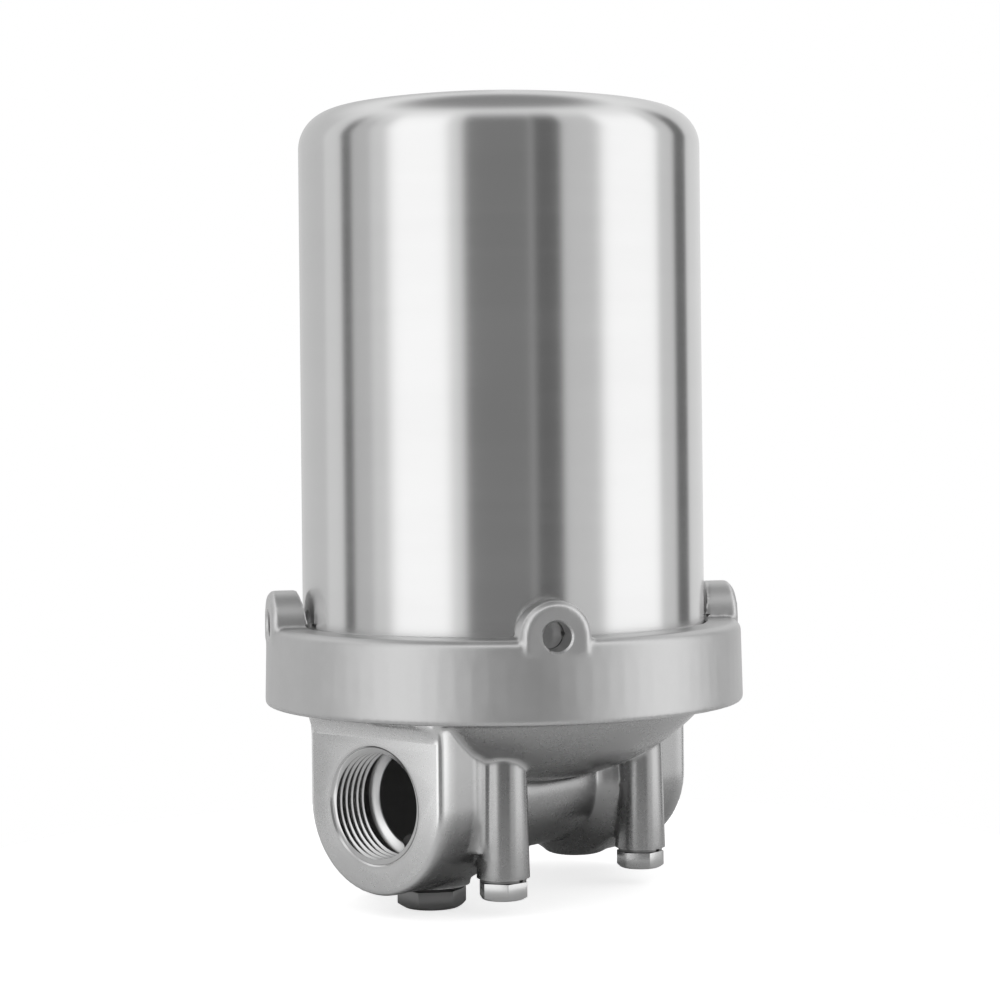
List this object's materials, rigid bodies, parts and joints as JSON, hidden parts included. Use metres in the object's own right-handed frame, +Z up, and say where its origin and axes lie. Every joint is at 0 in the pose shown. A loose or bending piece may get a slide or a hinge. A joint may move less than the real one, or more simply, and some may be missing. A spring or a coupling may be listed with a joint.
{
  "type": "cartridge filter housing",
  "caption": "Stainless filter housing: an upturned bell held on a ported head by a lugged ring nut, with a pleated cartridge, hold-down spring and drain plug.",
  "frame": {"origin": "on the bell's axis, in the plane of the drain plug's underside", "axes": "+Z up along the bell's axis, +X along the flow, out of the outlet port"},
  "size_m": [0.1148, 0.1148, 0.1907],
  "materials": {
    "cast_steel": "electropolished casting",
    "bell_steel": "brushed round the bell",
    "nut_steel": "satin bead blasted casting",
    "turned_steel": "turned",
    "bolt_steel": "bright cold headed",
    "plug_steel": "dark machined",
    "spring_steel": "drawn wire",
    "seal_rubber": "matt moulded",
    "gasket_rubber": "matt moulded",
    "washer_plastic": "slippery natural plastic",
    "cartridge_plastic": "moulded natural plastic",
    "media_felt": "folded melt-blown sheet"
  },
  "bodies": {
    "head": {"head": "cast_steel", "bell_seal": "seal_rubber", "seat_spigot": "turned_steel", "spigot_seal": "seal_rubber", "mounting_bolts": "bolt_steel", "spring_washers": "spring_steel"},
    "bell": {"bell": "bell_steel", "bell_flange": "turned_steel", "spring_cup": "turned_steel", "hold_down_spring": "spring_steel"},
    "spring_plate": {"spring_plate": "turned_steel", "plate_spigot": "turned_steel"},
    "slip_washer": {"slip_washer": "washer_plastic"},
    "ring_nut": {"ring_nut": "nut_steel"},
    "cartridge": {"cartridge_core": "cartridge_plastic", "pleated_media": "media_felt", "cartridge_cage": "cartridge_plastic", "top_end_cap": "cartridge_plastic", "bottom_end_cap": "cartridge_plastic", "top_gasket": "gasket_rubber", "bottom_gasket": "gasket_rubber"},
    "drain_seal": {"drain_seal": "seal_rubber"},
    "drain_plug": {"drain_plug": "plug_steel"}
  },
  "joints": [
    {"name": "bell_lift", "type": "slide", "parent": "head", "child": "bell", "axis": [0, 0, 1], "range_m": [0, 0.3]},
    {"name": "cartridge_lift", "type": "slide", "parent": "head", "child": "cartridge", "axis": [0, 0, 1], "range_m": [0, 0.15]},
    {"name": "nut_rise", "type": "slide", "parent": "bell", "child": "slip_washer", "axis": [0, 0, 1], "range_m": [0, 0.01]},
    {"name": "nut_turn", "type": "hinge", "parent": "slip_washer", "child": "ring_nut", "pos_m": [0, 0, 0.0552], "axis": [0, 0, 1], "range_deg": [0, 1800]},
    {"name": "plate_press", "type": "slide", "parent": "bell", "child": "spring_plate", "axis": [0, 0, 1], "range_m": [0, 0.004], "stiffness_N_per_m": 2500, "springref_m": -0.006, "deforming": ["hold_down_spring"]},
    {"name": "drain_drop", "type": "slide", "parent": "head", "child": "drain_seal", "axis": [0, 0, -1], "range_m": [0, 0.0068]},
    {"name": "drain_turn", "type": "hinge", "parent": "drain_seal", "child": "drain_plug", "pos_m": [-0.027, 0, 0.005], "axis": [0, 0, -1], "range_deg": [0, 1800]}
  ],
  "couplings": [
    {"joint": "cartridge_lift", "follows": "bell_lift", "ratio": 0.5},
    {"joint": "nut_rise", "follows": "nut_turn", "m_per_rad": 0.00031831},
    {"joint": "drain_drop", "follows": "drain_turn", "m_per_rad": 0.00021279}
  ]
}
